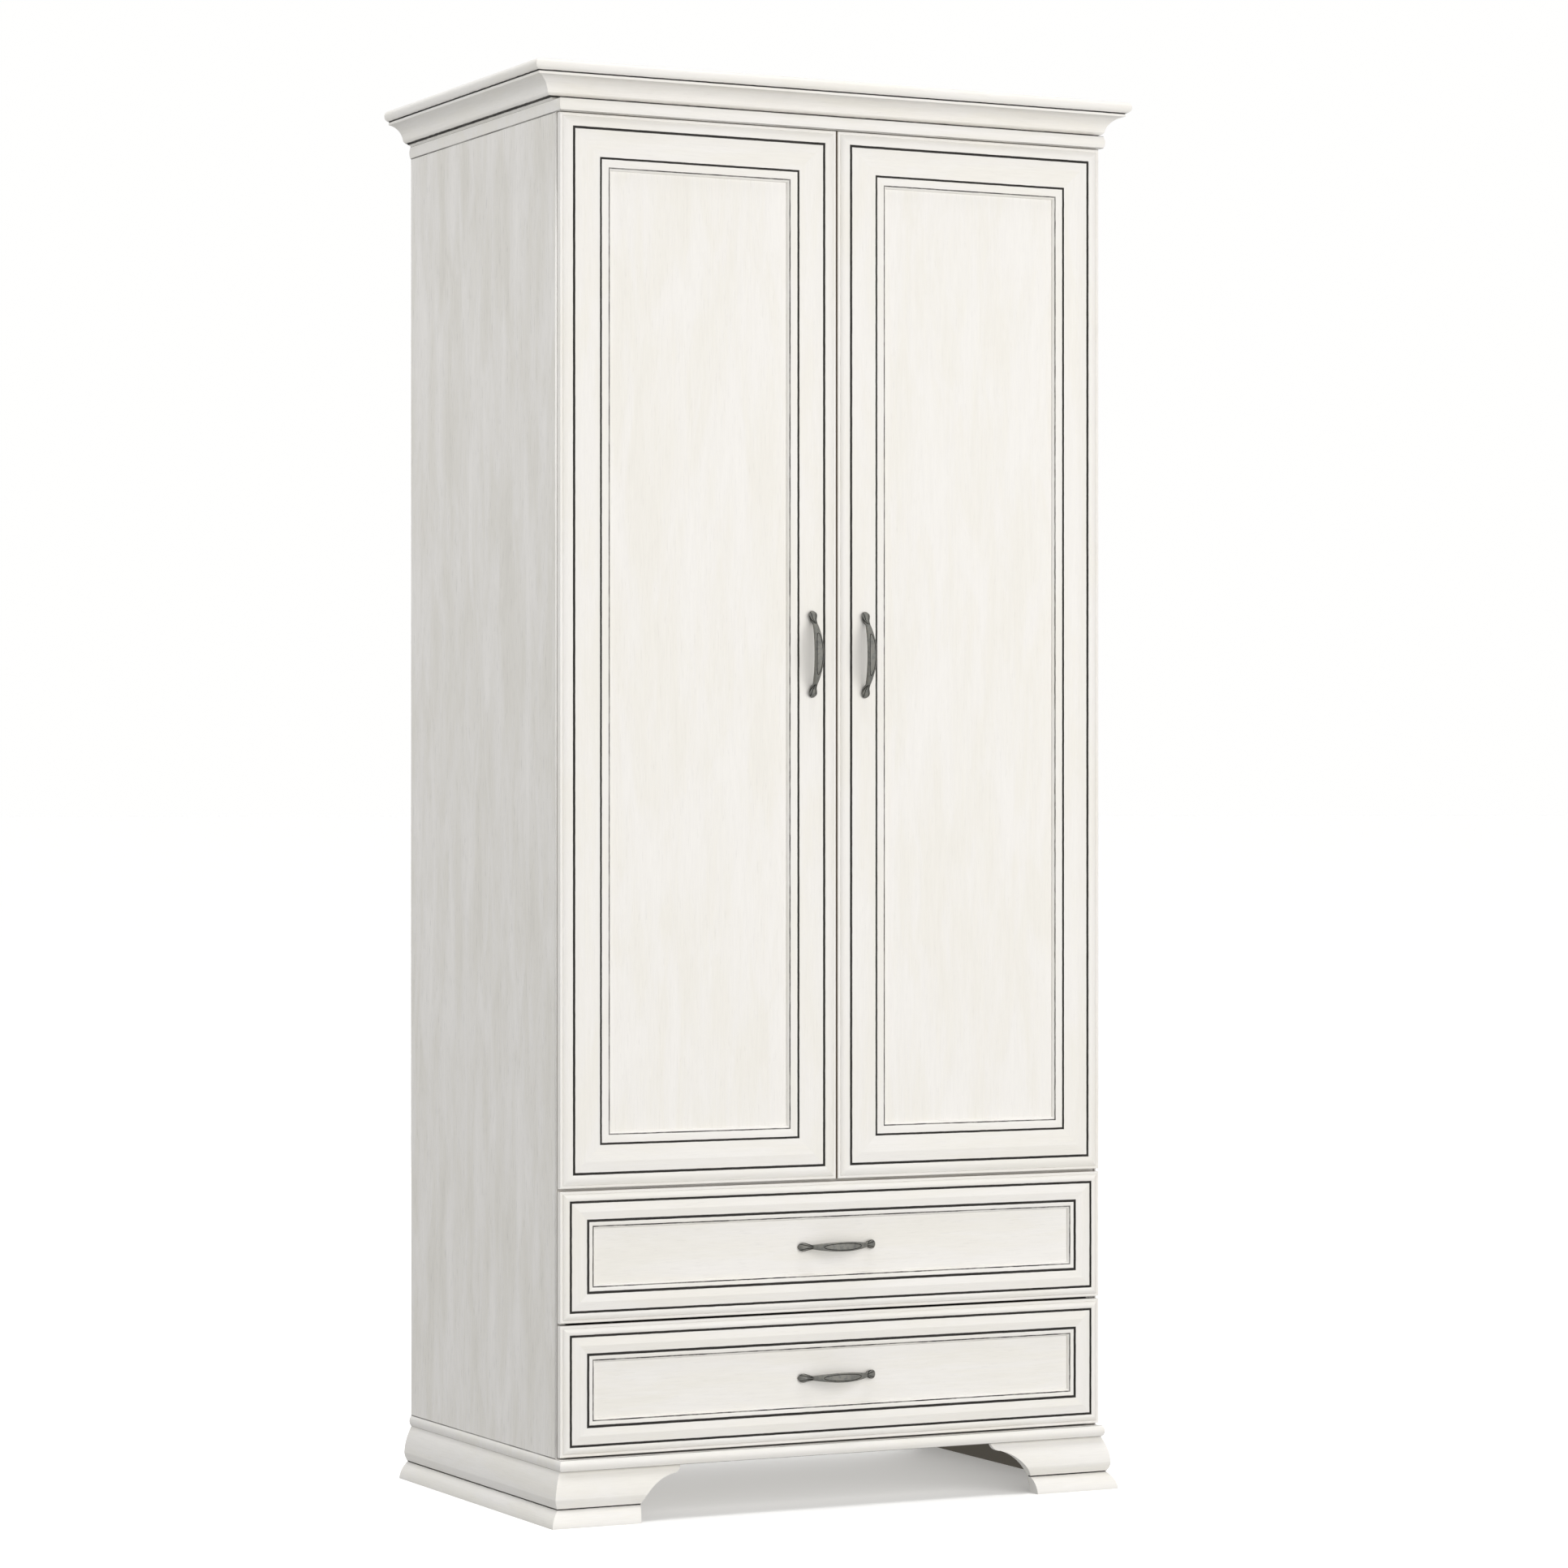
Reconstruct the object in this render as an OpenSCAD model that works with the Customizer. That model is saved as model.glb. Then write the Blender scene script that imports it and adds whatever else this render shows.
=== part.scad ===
// Wardrobe with two framed doors over two full-width drawers, a mitred crown moulding and a
// plinth on bracket feet. X runs across the front, -Y is the front, +Z is up. The origin is on
// the floor, midway across and midway between the front of the door handles and the back.

/* [Overall] */
// Height from the floor to the top of the crown moulding
total_h = 2100; // [2000:10:2200]
// Width over the two side panels
carcass_w = 894; // [860:2:960]
// Depth from the front faces of the doors to the wall
body_depth = 568.5; // [560:0.5:620]
// How far the door handles stand out from the front faces
handle_reach = 30; // [28:1:32]

/* [Boards] */
// Thickness of the side panels and shelves
board_t = 16; // [16:1:18]
// Thickness of the top board with the rounded edge
nosed_t = 18; // [16:1:20]
// Thickness of the bottom board with the rounded edge
bottom_t = 16.5; // [16:0.5:20]
// How far the top and bottom boards stand out in front of the door faces
nosed_front = 9; // [7:0.5:10]
// How far the top and bottom boards stand out beyond the side panels
nosed_side = 3; // [2:0.5:4]
// Thickness of the back panels
back_t = 3; // [2.5:0.5:4]
// Underside of the hat shelf above the floor
hat_shelf_z = 1720; // [1650:10:1760]

/* [Fronts] */
// Thickness of the doors and drawer fronts behind their front face
front_t = 14; // [14:0.5:15]
// How far each front stops short of the outer face of the side panel
front_inset = 2; // [1.5:0.5:2.5]
// Height of one drawer front
drawer_front_h = 189.2; // [180:0.2:200]
// Gap between the two drawer fronts
drawer_gap = 3.2; // [3:0.2:4]
// Gap between the upper drawer front and the doors
door_gap = 4; // [3:0.2:5]
// Gap between the two doors
meeting_gap = 3; // [2:0.5:4]
// Gap between the doors and the top board
reveal = 1.2; // [1:0.2:2]
// Gap between the lower drawer front and the bottom board
bottom_gap = 2.7; // [1.2:0.1:3]
// Thickness of the panels inside the frames
panel_t = 6; // [5:0.5:6]

/* [Hinges and slides] */
// How many hinges each door has
hinge_count = 4; // [3:1:4]
// Distance of a hinge pin from the outer edge of its door
pin_x = 8; // [7.5:0.25:8.5]
// Radius of a hinge pin
pin_r = 1.2; // [1.0:0.1:1.3]
// Length of the drawer slides
slide_length = 500; // [450:50:500]
// Width taken by one drawer slide
slide_t = 12.7; // [12.7:0.1:13]

/* [Handles] */
// Overall length of a handle
handle_length = 128; // [128:1:132]
// Height of the middle of the door handles above the floor
door_handle_z = 1256; // [1100:1:1400]

/* [Plinth and crown] */
// Height of the plinth below the bottom board
plinth_h = 79; // [79:1:90]
// Height of the crown moulding above the top board
crown_h = 53; // [53:1:60]
// How far the crown is set back from the door faces, before its own projection
crown_setback = 26; // [20:1:30]
// Half the width of the opening between the bracket feet, under the bottom board
arch_half = 256.5; // [220:0.5:270]

/* [Hidden] */
$fn = 48;

// Planes of the frame
face_y = -(body_depth - handle_reach) / 2;
back_y = face_y + body_depth;
half_w = carcass_w / 2;
inner_half = half_w - board_t;
front_half = half_w - front_inset;

// Levels, from the floor up
carcass_z = plinth_h + bottom_t;
top_board_z = total_h - crown_h - nosed_t;
lower_z = carcass_z + bottom_gap;
upper_z = lower_z + drawer_front_h + drawer_gap;
door_z = upper_z + drawer_front_h + door_gap;
door_h = top_board_z - reveal - door_z;
door_w = front_half - meeting_gap / 2;
divider_z = door_z - door_gap / 2 - board_t / 2;

// Doors stay this far in front of the carcass, so their edges can swing past it
swing_gap = 2.5;
carcass_y = face_y + front_t + swing_gap;
edge_round = 3;

// Back panels lie in a rebate
rebate_depth = back_t + 1.5;
rebate_w = 8;
shelf_back_y = back_y - rebate_depth - 1.5;
strip_w = 22;
strip_t = 1;
strip_web = 1.5;

// Frame sections: distances of the grooves, and of the inner edge, from the outer edge
door_lines = [20.8, 63, 76.4, 80.5];
drawer_lines = [15.7, 42.9, 51, 54.5];
door_ridge = 0.4;
drawer_ridge = 0.52;
door_recess = 5.6;
drawer_recess = 4.8;
ridge_rise = 1.6;
panel_seat = 10;
panel_play = 0.5;

// Hinge: cup, pin and arm
cup_r = 17.5;
cup_wall = 0.8;
cup_floor_y = 3.1;
cup_floor_t = 0.6;
cup_x = 3 + cup_r;
pin_y = 6;
pin_clearance = 0.05;
pin_half_length = 10.8;
arm_half_w = 5.5;
arm_t = 1.8;
arm_drop = 1.2;
arm_seat_x = front_half - inner_half;
hinge_end = 100;

// Drawer box and slides
box_t = 12;
box_h = 140;
box_lift = 22;
box_half = inner_half - slide_t;
box_y = face_y + front_t;
box_groove = 5;
box_bottom_t = 3;
box_bottom_lift = 12;
slide_z = 45;
slide_y = carcass_y + 2;

// Handles
handle_half = handle_length / 2;
handle_rise = handle_reach - ridge_rise;
grip_t = 7.2;
grip_radius = 79;
neck_at = 44;
boss_at = 57;
door_handle_x = 43.6;

// Crown and plinth reference lines
moulding_half = front_half + 0.6;
crown_back = 18;
plinth_back = 4;
plinth_setback = 1;

// Hanging rail
rail_h = 30;
rail_w = 15;
rail_wall = 1.2;
rail_drop = 50;
rail_y = (carcass_y + shelf_back_y) / 2;
socket_t = 3;
socket_depth = 14;

WOOD = [0.95, 0.94, 0.91];
LAMINATE = [0.93, 0.92, 0.88];
HDF = [0.90, 0.89, 0.86];
STEEL = [0.72, 0.73, 0.75];
PEWTER = [0.42, 0.43, 0.40];
PLASTIC = [0.93, 0.93, 0.91];

// ---------- Helpers ----------

// Points of an arc from p to q that bulges by sag to the left of the way from p to q
function arc(p, q, sag, n = 8) =
    let (d = q - p, c = norm(d) / 2, s = abs(sag), r = (c * c + s * s) / (2 * s),
         along = d / (2 * c), out = [-along[1], along[0]] * sign(sag),
         centre = (p + q) / 2 - out * (r - s), half = asin(min(1, c / r)))
    [for (i = [0:n]) let (a = half * (2 * i / n - 1)) centre + out * r * cos(a) + along * r * sin(a)];

function flip_x(points) = [for (p = points) [-p[0], p[1]]];

// A block between two corners
module block(low, high) {
    translate(low) cube(high - low);
}

// A section drawn in (Y, Z), run along X
module run_x(x0, x1) {
    translate([x0, 0, 0]) rotate([90, 0, 90]) linear_extrude(x1 - x0) children();
}

// A section drawn in (X, Z), run along Y
module run_y(y0, y1) {
    translate([0, y1, 0]) rotate([90, 0, 0]) linear_extrude(y1 - y0) children();
}

module both_sides() {
    children();
    mirror([1, 0, 0]) children();
}

// ---------- Mouldings ----------

// Crown section as (projection, height): slope, quirk, ovolo, cove, fillet, quirk, nosing
function crown_section() = concat(
    [[-crown_back, 0], [2, 0]],
    arc([2, 0.4], [7.6, 3.5], 0.7, 4),
    [[6.7, 4]],
    arc([8.1, 4.5], [14.9, 9.4], -1.2, 6),
    arc([15.2, 11.2], [38.2, 31.6], 4.8, 12),
    [[38.4, 35.2], [37.2, 35.9], [38.6, 36.6]],
    arc([38.9, 36.6], [38.6, crown_h], -7, 16),
    [[-crown_back, crown_h]]
);

// Plinth section as (projection, height): flared foot, quirk, swelling, neck
function plinth_section() = concat(
    [[-plinth_back, 0], [20.8, 0]],
    arc([20.8, 2.5], [7.4, 25], -2.4, 8),
    [[6.4, 25.7]],
    arc([7.8, 26.4], [12.8, 40], -0.9, 6),
    arc([12.8, 40], [1.4, plinth_h - 0.5], -2.2, 10),
    [[1.4, plinth_h], [-plinth_back, plinth_h]]
);

// Moulding along +X with its face towards -Y, mitred at the ends that are asked for
module moulding(section, length, back, mitre_start, mitre_end) {
    reach = max([for (p = section) p[0]]) + 1;
    height = max([for (p = section) p[1]]);
    plan = [
        [mitre_start ? back : 0, back], [mitre_start ? -reach : 0, -reach],
        [length + (mitre_end ? reach : 0), -reach], [length - (mitre_end ? back : 0), back]
    ];
    intersection() {
        run_x(-reach, length + reach) polygon(flip_x(section));
        linear_extrude(height) polygon(plan);
    }
}

crown_y = face_y + crown_setback;
plinth_y = face_y + plinth_setback;

module crown_front() {
    color(WOOD) translate([-moulding_half, crown_y, top_board_z + nosed_t])
        moulding(crown_section(), 2 * moulding_half, crown_back, true, true);
}

module crown_left() {
    color(WOOD) translate([-moulding_half, back_y, top_board_z + nosed_t]) rotate([0, 0, -90])
        moulding(crown_section(), back_y - crown_y, crown_back, false, true);
}

module crown_right() {
    color(WOOD) translate([moulding_half, crown_y, top_board_z + nosed_t]) rotate([0, 0, 90])
        moulding(crown_section(), back_y - crown_y, crown_back, true, false);
}

module plinth_left() {
    color(WOOD) translate([-moulding_half, back_y, 0]) rotate([0, 0, -90])
        moulding(plinth_section(), back_y - plinth_y, plinth_back, false, true);
}

module plinth_right() {
    color(WOOD) translate([moulding_half, plinth_y, 0]) rotate([0, 0, 90])
        moulding(plinth_section(), back_y - plinth_y, plinth_back, true, false);
}

// Outline of the right bracket foot in (X, Z): ogee tip, arch, then the flared heel
function foot_outline() = concat(
    [[half_w + 40, -1], [arch_half + 70.6, -1], [arch_half + 70.6, 0]],
    arc([arch_half + 70.6, 0], [arch_half + 65.5, 25.7], -1.2, 4),
    arc([arch_half + 65.5, 26.4], [arch_half + 14, plinth_h - 11.7], -7.5, 12),
    arc([arch_half + 14, plinth_h - 11.7], [arch_half, plinth_h - 1], 3.2, 8),
    [[arch_half, plinth_h + 1], [half_w + 40, plinth_h + 1]]
);

module bracket_foot() {
    color(WOOD) intersection() {
        translate([-moulding_half, plinth_y, 0])
            moulding(plinth_section(), 2 * moulding_half, plinth_back, true, true);
        run_y(plinth_y - 30, plinth_y + 30) polygon(foot_outline());
    }
}

module bracket_foot_right() {
    bracket_foot();
}

module bracket_foot_left() {
    mirror([1, 0, 0]) bracket_foot();
}

// ---------- Carcass ----------

// Screws that hold the side panels between the top and bottom boards
screw_shank_r = 3.5;
screw_head_r = 5;
screw_head_h = 3;
screw_length = 50;
screw_inset_y = 80;
screw_x = half_w - board_t / 2;
screw_rows = [carcass_y + screw_inset_y, back_y - screw_inset_y];

module panel_screw() {
    translate([0, 0, -screw_length]) cylinder(r = screw_shank_r, h = screw_length);
    translate([0, 0, -screw_head_h]) cylinder(r = screw_head_r, h = screw_head_h);
}

// All the panel screws; they are also the shapes of their own holes
module panel_screw_set() {
    for (y = screw_rows, x = [-screw_x, screw_x]) {
        translate([x, y, top_board_z + nosed_t]) panel_screw();
        translate([x, y, plinth_h]) mirror([0, 0, 1]) panel_screw();
    }
}

module panel_screws() {
    color(STEEL) panel_screw_set();
}

module side_panel() {
    color(LAMINATE) difference() {
        block([inner_half, carcass_y, carcass_z], [half_w, back_y, top_board_z]);
        block([inner_half - 1, back_y - rebate_depth, carcass_z - 1],
              [inner_half + rebate_w, back_y + 1, top_board_z + 1]);
        panel_screw_set();
    }
}

module side_panel_right() {
    side_panel();
}

module side_panel_left() {
    mirror([1, 0, 0]) side_panel();
}

// A board from z = 0 up, t thick, whose front and side edges swell by sag
module nosed_board(t, sag) {
    side = half_w + nosed_side;
    front = face_y - nosed_front;
    round_off = 1.2;
    intersection() {
        run_x(-side - 1, side + 1) polygon(concat(
            arc([front + sag + round_off, 0], [front + sag + round_off, t], sag + round_off, 12),
            [[back_y, t], [back_y, 0]]));
        run_y(front - 1, back_y + 1) polygon(concat(
            arc([-side + sag + round_off, 0], [-side + sag + round_off, t], sag + round_off, 12),
            arc([side - sag - round_off, t], [side - sag - round_off, 0], sag + round_off, 12)));
    }
}

module top_board() {
    color(WOOD) difference() {
        translate([0, 0, top_board_z]) nosed_board(nosed_t, 0.8);
        block([-inner_half - rebate_w, back_y - rebate_depth, top_board_z - 1],
              [inner_half + rebate_w, back_y + 1, top_board_z + rebate_w]);
        panel_screw_set();
    }
}

module bottom_board() {
    color(WOOD) difference() {
        translate([0, 0, plinth_h]) nosed_board(bottom_t, 2.2);
        block([-inner_half - rebate_w, back_y - rebate_depth, carcass_z - rebate_w],
              [inner_half + rebate_w, back_y + 1, carcass_z + 1]);
        panel_screw_set();
    }
}

// Round cams in the underside of the two shelves, near the side panels
cam_r = 7.5;
cam_h = 11;
cam_inset = 24;

module cam_set() {
    for (z = [divider_z, hat_shelf_z], y = screw_rows, x = [-1, 1])
        translate([x * (inner_half - cam_inset), y, z]) cylinder(r = cam_r, h = cam_h);
}

module cam_locks() {
    color(STEEL) difference() {
        cam_set();
        for (z = [divider_z, hat_shelf_z], y = screw_rows, x = [-1, 1])
            translate([x * (inner_half - cam_inset), y, z]) {
                cube([8, 1.4, 3], center = true);
                cube([1.4, 8, 3], center = true);
            }
    }
}

module divider_shelf() {
    color(LAMINATE) difference() {
        block([-inner_half, carcass_y, divider_z],
              [inner_half, shelf_back_y, divider_z + board_t]);
        cam_set();
    }
}

module hat_shelf() {
    color(LAMINATE) difference() {
        block([-inner_half, carcass_y + 20, hat_shelf_z],
              [inner_half, shelf_back_y, hat_shelf_z + board_t]);
        cam_set();
    }
}

module back_panel_right() {
    color(HDF) block([strip_web / 2, back_y - rebate_depth, carcass_z - rebate_w],
                     [inner_half + rebate_w, back_y - rebate_depth + back_t, top_board_z + rebate_w]);
}

module back_panel_left() {
    mirror([1, 0, 0]) back_panel_right();
}

// H-shaped strip that joins the two back panels
module back_joining_strip() {
    y = back_y - rebate_depth;
    low = carcass_z - rebate_w;
    high = top_board_z + rebate_w;
    color(PLASTIC) {
        block([-strip_web / 2, y - strip_t, carcass_z], [strip_web / 2, y + back_t + strip_t, top_board_z]);
        block([-strip_w / 2, y - strip_t, carcass_z], [strip_w / 2, y, top_board_z]);
        block([-strip_web / 2, y, low], [strip_web / 2, y + back_t, high]);
        block([-strip_w / 2, y + back_t, low], [strip_w / 2, y + back_t + strip_t, high]);
    }
}

module stadium(w, h) {
    square([w, h - w], center = true);
    for (s = [-1, 1]) translate([0, s * (h - w) / 2]) circle(d = w);
}

rail_z = hat_shelf_z - rail_drop;

module hanging_rail() {
    color(STEEL) translate([0, rail_y, rail_z]) run_x(socket_t - inner_half, inner_half - socket_t)
        difference() {
            stadium(rail_w, rail_h);
            stadium(rail_w - 2 * rail_wall, rail_h - 2 * rail_wall);
        }
}

// Sockets screwed to the side panels; their open cups let the rail drop in from above
module rail_sockets() {
    lip = 2.5;
    color(STEEL) translate([0, rail_y, rail_z]) both_sides() {
        run_x(inner_half - socket_t, inner_half) stadium(rail_w + 14, rail_h + 24);
        difference() {
            run_x(inner_half - socket_depth, inner_half - socket_t)
                stadium(rail_w + 2 * lip, rail_h + 2 * lip);
            run_x(inner_half - socket_depth - 1, inner_half - socket_t + 0.01) stadium(rail_w, rail_h);
            block([inner_half - socket_depth - 1, -rail_w / 2, 0],
                  [inner_half - socket_t, rail_w / 2, rail_h]);
        }
    }
}

// Blocks glued inside the front corners of the crown and of the plinth
module corner_blocks() {
    crown_block = 34;
    plinth_block = 36;
    crown_in = moulding_half - crown_back;
    plinth_in = moulding_half - plinth_back;
    color(LAMINATE) both_sides() {
        block([crown_in - crown_block, crown_y + crown_back, total_h - crown_h],
              [crown_in, crown_y + crown_back + crown_block, total_h - 8]);
        block([plinth_in - plinth_block, plinth_y + plinth_back, 6],
              [plinth_in, plinth_y + plinth_back + plinth_block, plinth_h]);
    }
}

// Angle on top of the carcass that a screw ties to the wall
bracket_w = 24;
bracket_leg = 40;
bracket_t = 2;
bracket_hole_r = 2.75;

module wall_bracket() {
    z = top_board_z + nosed_t;
    color(STEEL) difference() {
        union() {
            block([-bracket_w / 2, back_y - bracket_leg, z], [bracket_w / 2, back_y, z + bracket_t]);
            block([-bracket_w / 2, back_y - bracket_t, z], [bracket_w / 2, back_y, z + bracket_leg]);
        }
        translate([0, back_y + 1, z + 24]) rotate([90, 0, 0])
            cylinder(r = bracket_hole_r, h = bracket_t + 2);
    }
}

// ---------- Framed fronts ----------

// Section of a frame member as (distance from the outer edge, depth behind the face plane)
function frame_section(lines, ridge, recess) =
    let (g1 = lines[0], g2 = lines[1], g3 = lines[2], w = lines[3])
    concat(
        arc([edge_round, front_t], [0, front_t - edge_round], -0.879 * edge_round / 3, 4),
        arc([0, 3.4], [1.1, 2.3], -0.32, 3),
        [[3.9, 2.3], [4.2, 2.8]],
        arc([4.5, 2.2], [g1 - 1.1, 0.2], -2, 10),
        [[g1 - 0.8, 1.5], [g1 + 0.8, 1.5], [g1 + 1.1, 0]],
        [[g1 + ridge * (g2 - g1), -ridge_rise]],
        [[g2 - 1, 0], [g2 - 0.7, 1.3], [g2 + 0.7, 1.3]],
        arc([g2 + 1, 0.3], [g3 - 0.5, 0.8], -0.4, 5),
        [[g3, 1.6]],
        arc([g3 + 0.5, 1], [w, recess], -0.8, 6),
        [[w - panel_seat, recess], [w - panel_seat, recess + panel_t],
         [w, recess + panel_t], [w, front_t]]
    );

// Frame member standing along +Z with its outer edge at x = 0, mitred at both ends
module frame_member(section, w, length) {
    e = 1;
    intersection() {
        linear_extrude(length) polygon(section);
        run_y(-handle_reach, handle_reach)
            polygon([[-e, -e], [w + e, w + e], [w + e, length - w - e], [-e, length + e]]);
    }
}

module door_member(length) {
    frame_member(frame_section(door_lines, door_ridge, door_recess), door_lines[3], length);
}

module drawer_member(length) {
    frame_member(frame_section(drawer_lines, drawer_ridge, drawer_recess), drawer_lines[3], length);
}

// Panel that fills a frame w wide and h high, from its own corner
module front_panel(w, h, lines, recess) {
    edge = lines[3] - panel_seat + panel_play;
    block([edge, recess, edge], [w - edge, recess + panel_t, h - edge]);
}

// Heights of the hinges above the bottom of the door
hinge_heights = [for (i = [0:hinge_count - 1])
    hinge_end + i * (door_h - 2 * hinge_end) / (hinge_count - 1)];

// Put a left-hand door's parts, drawn from its lower outer corner, on the left or the right
module on_left_door() {
    translate([-front_half, face_y, door_z]) children();
}

module on_right_door() {
    mirror([1, 0, 0]) on_left_door() children();
}

module door_stile_hinge() {
    color(WOOD) difference() {
        door_member(door_h);
        for (z = hinge_heights) translate([cup_x, cup_floor_y, z]) rotate([-90, 0, 0])
            cylinder(r = cup_r, h = front_t);
    }
}

module door_stile_meeting() {
    color(WOOD) translate([door_w, 0, 0]) mirror([1, 0, 0]) door_member(door_h);
}

module door_rail_bottom() {
    color(WOOD) translate([door_w, 0, 0]) rotate([0, -90, 0]) door_member(door_w);
}

module door_rail_top() {
    color(WOOD) translate([0, 0, door_h]) mirror([0, 0, 1]) door_rail_bottom();
}

module door_panel() {
    color(WOOD) front_panel(door_w, door_h, door_lines, door_recess);
}

// Steel cup let into the back of the stile, with its wings, screw heads and hinge pin
module hinge_cup() {
    wing = [25, 1, 52];
    difference() {
        union() {
            translate([cup_x, cup_floor_y, 0]) rotate([-90, 0, 0])
                cylinder(r = cup_r, h = front_t - cup_floor_y);
            translate([cup_x - wing[0] / 2, front_t, -wing[2] / 2]) cube(wing);
            for (s = [-1, 1]) translate([cup_x, front_t, s * 22.3]) rotate([-90, 0, 0])
                cylinder(r = 3.2, h = 1.5);
        }
        translate([cup_x, cup_floor_y + cup_floor_t, 0]) rotate([-90, 0, 0])
            cylinder(r = cup_r - cup_wall, h = front_t);
    }
    translate([pin_x, pin_y, -pin_half_length]) cylinder(r = pin_r, h = 2 * pin_half_length);
}

module door_hinge_cups() {
    color(STEEL) for (z = hinge_heights) translate([0, 0, z]) hinge_cup();
}

// Arm that turns on the pin, leaves the cup and runs back along the side panel to its plate
module hinge_arm() {
    riser_x = arm_seat_x + 6;
    low_y = pin_y - arm_drop;
    seat_y = front_t + swing_gap + 6;
    plate_t = 1.6;
    arm_end = seat_y + 60;
    difference() {
        union() {
            translate([pin_x, pin_y, -5]) cylinder(r = 2, h = 10);
            block([pin_x, low_y, -arm_half_w], [riser_x + arm_t, low_y + arm_t, arm_half_w]);
            block([riser_x, low_y, -arm_half_w], [riser_x + arm_t, seat_y + 1, arm_half_w]);
        }
        translate([pin_x, pin_y, -arm_half_w - 1])
            cylinder(r = pin_r + pin_clearance, h = 2 * arm_half_w + 2);
    }
    // Channel over the mounting plate
    difference() {
        block([arm_seat_x + plate_t, seat_y, -7.5], [riser_x + arm_t, arm_end, 7.5]);
        block([arm_seat_x, seat_y - 1, -6.1], [riser_x + 0.4, arm_end + 1, 6.1]);
    }
    // Mounting plate with its two wings, and the screws in the arm and the wings
    block([arm_seat_x, seat_y + 2, -7.5], [arm_seat_x + plate_t, arm_end - 2, 7.5]);
    block([arm_seat_x, seat_y + 20, -26], [arm_seat_x + plate_t, seat_y + 38, 26]);
    for (s = [-1, 1]) translate([arm_seat_x + plate_t, seat_y + 29, s * 19]) rotate([0, 90, 0])
        cylinder(r = 4.2, h = 1.6);
    for (y = [seat_y + 12, seat_y + 46]) translate([riser_x + arm_t, y, 0]) rotate([0, 90, 0])
        cylinder(r = 3.4, h = 1.2);
}

module hinge_arm_row() {
    on_left_door() for (z = hinge_heights) translate([0, 0, z]) hinge_arm();
}

module hinge_arms() {
    color(STEEL) both_sides() hinge_arm_row();
}

module door_left_stile_hinge() { on_left_door() door_stile_hinge(); }
module door_left_stile_meeting() { on_left_door() door_stile_meeting(); }
module door_left_rail_top() { on_left_door() door_rail_top(); }
module door_left_rail_bottom() { on_left_door() door_rail_bottom(); }
module door_left_panel() { on_left_door() door_panel(); }
module door_left_hinge_cups() { on_left_door() door_hinge_cups(); }
module door_right_stile_hinge() { on_right_door() door_stile_hinge(); }
module door_right_stile_meeting() { on_right_door() door_stile_meeting(); }
module door_right_rail_top() { on_right_door() door_rail_top(); }
module door_right_rail_bottom() { on_right_door() door_rail_bottom(); }
module door_right_panel() { on_right_door() door_panel(); }
module door_right_hinge_cups() { on_right_door() door_hinge_cups(); }

// ---------- Handles ----------

// Half width of the handle at a distance a from its middle: leaf, neck, shell
function handle_half_width(a) =
    a < neck_at ? 3.4 + 3.8 * pow(1 - pow(a / neck_at, 2), 1.1) :
    a < boss_at ? 3.4 + 3.5 * pow((a - neck_at) / (boss_at - neck_at), 1.3) :
    6.9 * sqrt(max(0, 1 - pow((a - boss_at) / (handle_half - boss_at), 2)));

// Front of the handle above its seat: a bow that settles on the two shells
function handle_front(a) = max(handle_rise - grip_radius + sqrt(pow(grip_radius, 2) - a * a),
                               9 * sqrt(max(0, 1 - pow(max(0, a - 50) / 16, 2))));

// Back of the handle: under the bow, then the foot that stands on the seat
function handle_back(a) = a < 46 ? handle_front(a) - grip_t : a < 58 ? 0 : 2.5;

handle_steps = [-handle_half : 2 : handle_half];

// Handle lying along X, seated on the plane y = 0 and standing out towards -Y
module handle() {
    outline = concat([for (s = handle_steps) [s, handle_half_width(abs(s))]],
                     [for (s = handle_steps) [-s, -handle_half_width(abs(s))]]);
    side = concat([for (s = handle_steps) [s, -handle_front(abs(s))]],
                  [for (s = handle_steps) [-s, -handle_back(abs(s))]]);
    color(PEWTER) intersection() {
        run_y(-handle_reach - 1, 1) polygon(outline);
        translate([0, 0, -10]) linear_extrude(20) polygon(side);
    }
}

module door_handle() {
    translate([-door_handle_x, face_y - ridge_rise, door_handle_z]) rotate([0, 90, 0]) handle();
}

module door_left_handle() { door_handle(); }
module door_right_handle() { mirror([1, 0, 0]) door_handle(); }

// ---------- Drawers ----------

// Front stiles and rails of a drawer whose front starts at height z
module drawer_stiles(z) {
    color(WOOD) both_sides() translate([-front_half, face_y, z]) drawer_member(drawer_front_h);
}

module drawer_rails(z) {
    color(WOOD) for (top = [0, 1])
        translate([front_half, face_y, z + top * drawer_front_h]) mirror([0, 0, top])
            rotate([0, -90, 0]) drawer_member(2 * front_half);
}

module drawer_panel(z) {
    color(WOOD) translate([-front_half, face_y, z])
        front_panel(2 * front_half, drawer_front_h, drawer_lines, drawer_recess);
}

// The bottom of the drawer box; it is also cut out of the boards that hold it
module box_bottom(z) {
    low = z + box_lift + box_bottom_lift;
    edge = box_t - box_groove;
    block([edge - box_half, box_y + edge, low],
          [box_half - edge, box_y + slide_length - edge, low + box_bottom_t]);
}

module drawer_box_bottom(z) {
    color(HDF) box_bottom(z);
}

module drawer_box_right(z) {
    color(LAMINATE) difference() {
        block([box_half - box_t, box_y, z + box_lift],
              [box_half, box_y + slide_length, z + box_lift + box_h]);
        box_bottom(z);
    }
}

module drawer_box_left(z) {
    mirror([1, 0, 0]) drawer_box_right(z);
}

module drawer_box_end(z, y) {
    color(LAMINATE) difference() {
        block([box_t - box_half, y, z + box_lift], [box_half - box_t, y + box_t, z + box_lift + box_h]);
        box_bottom(z);
    }
}

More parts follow.
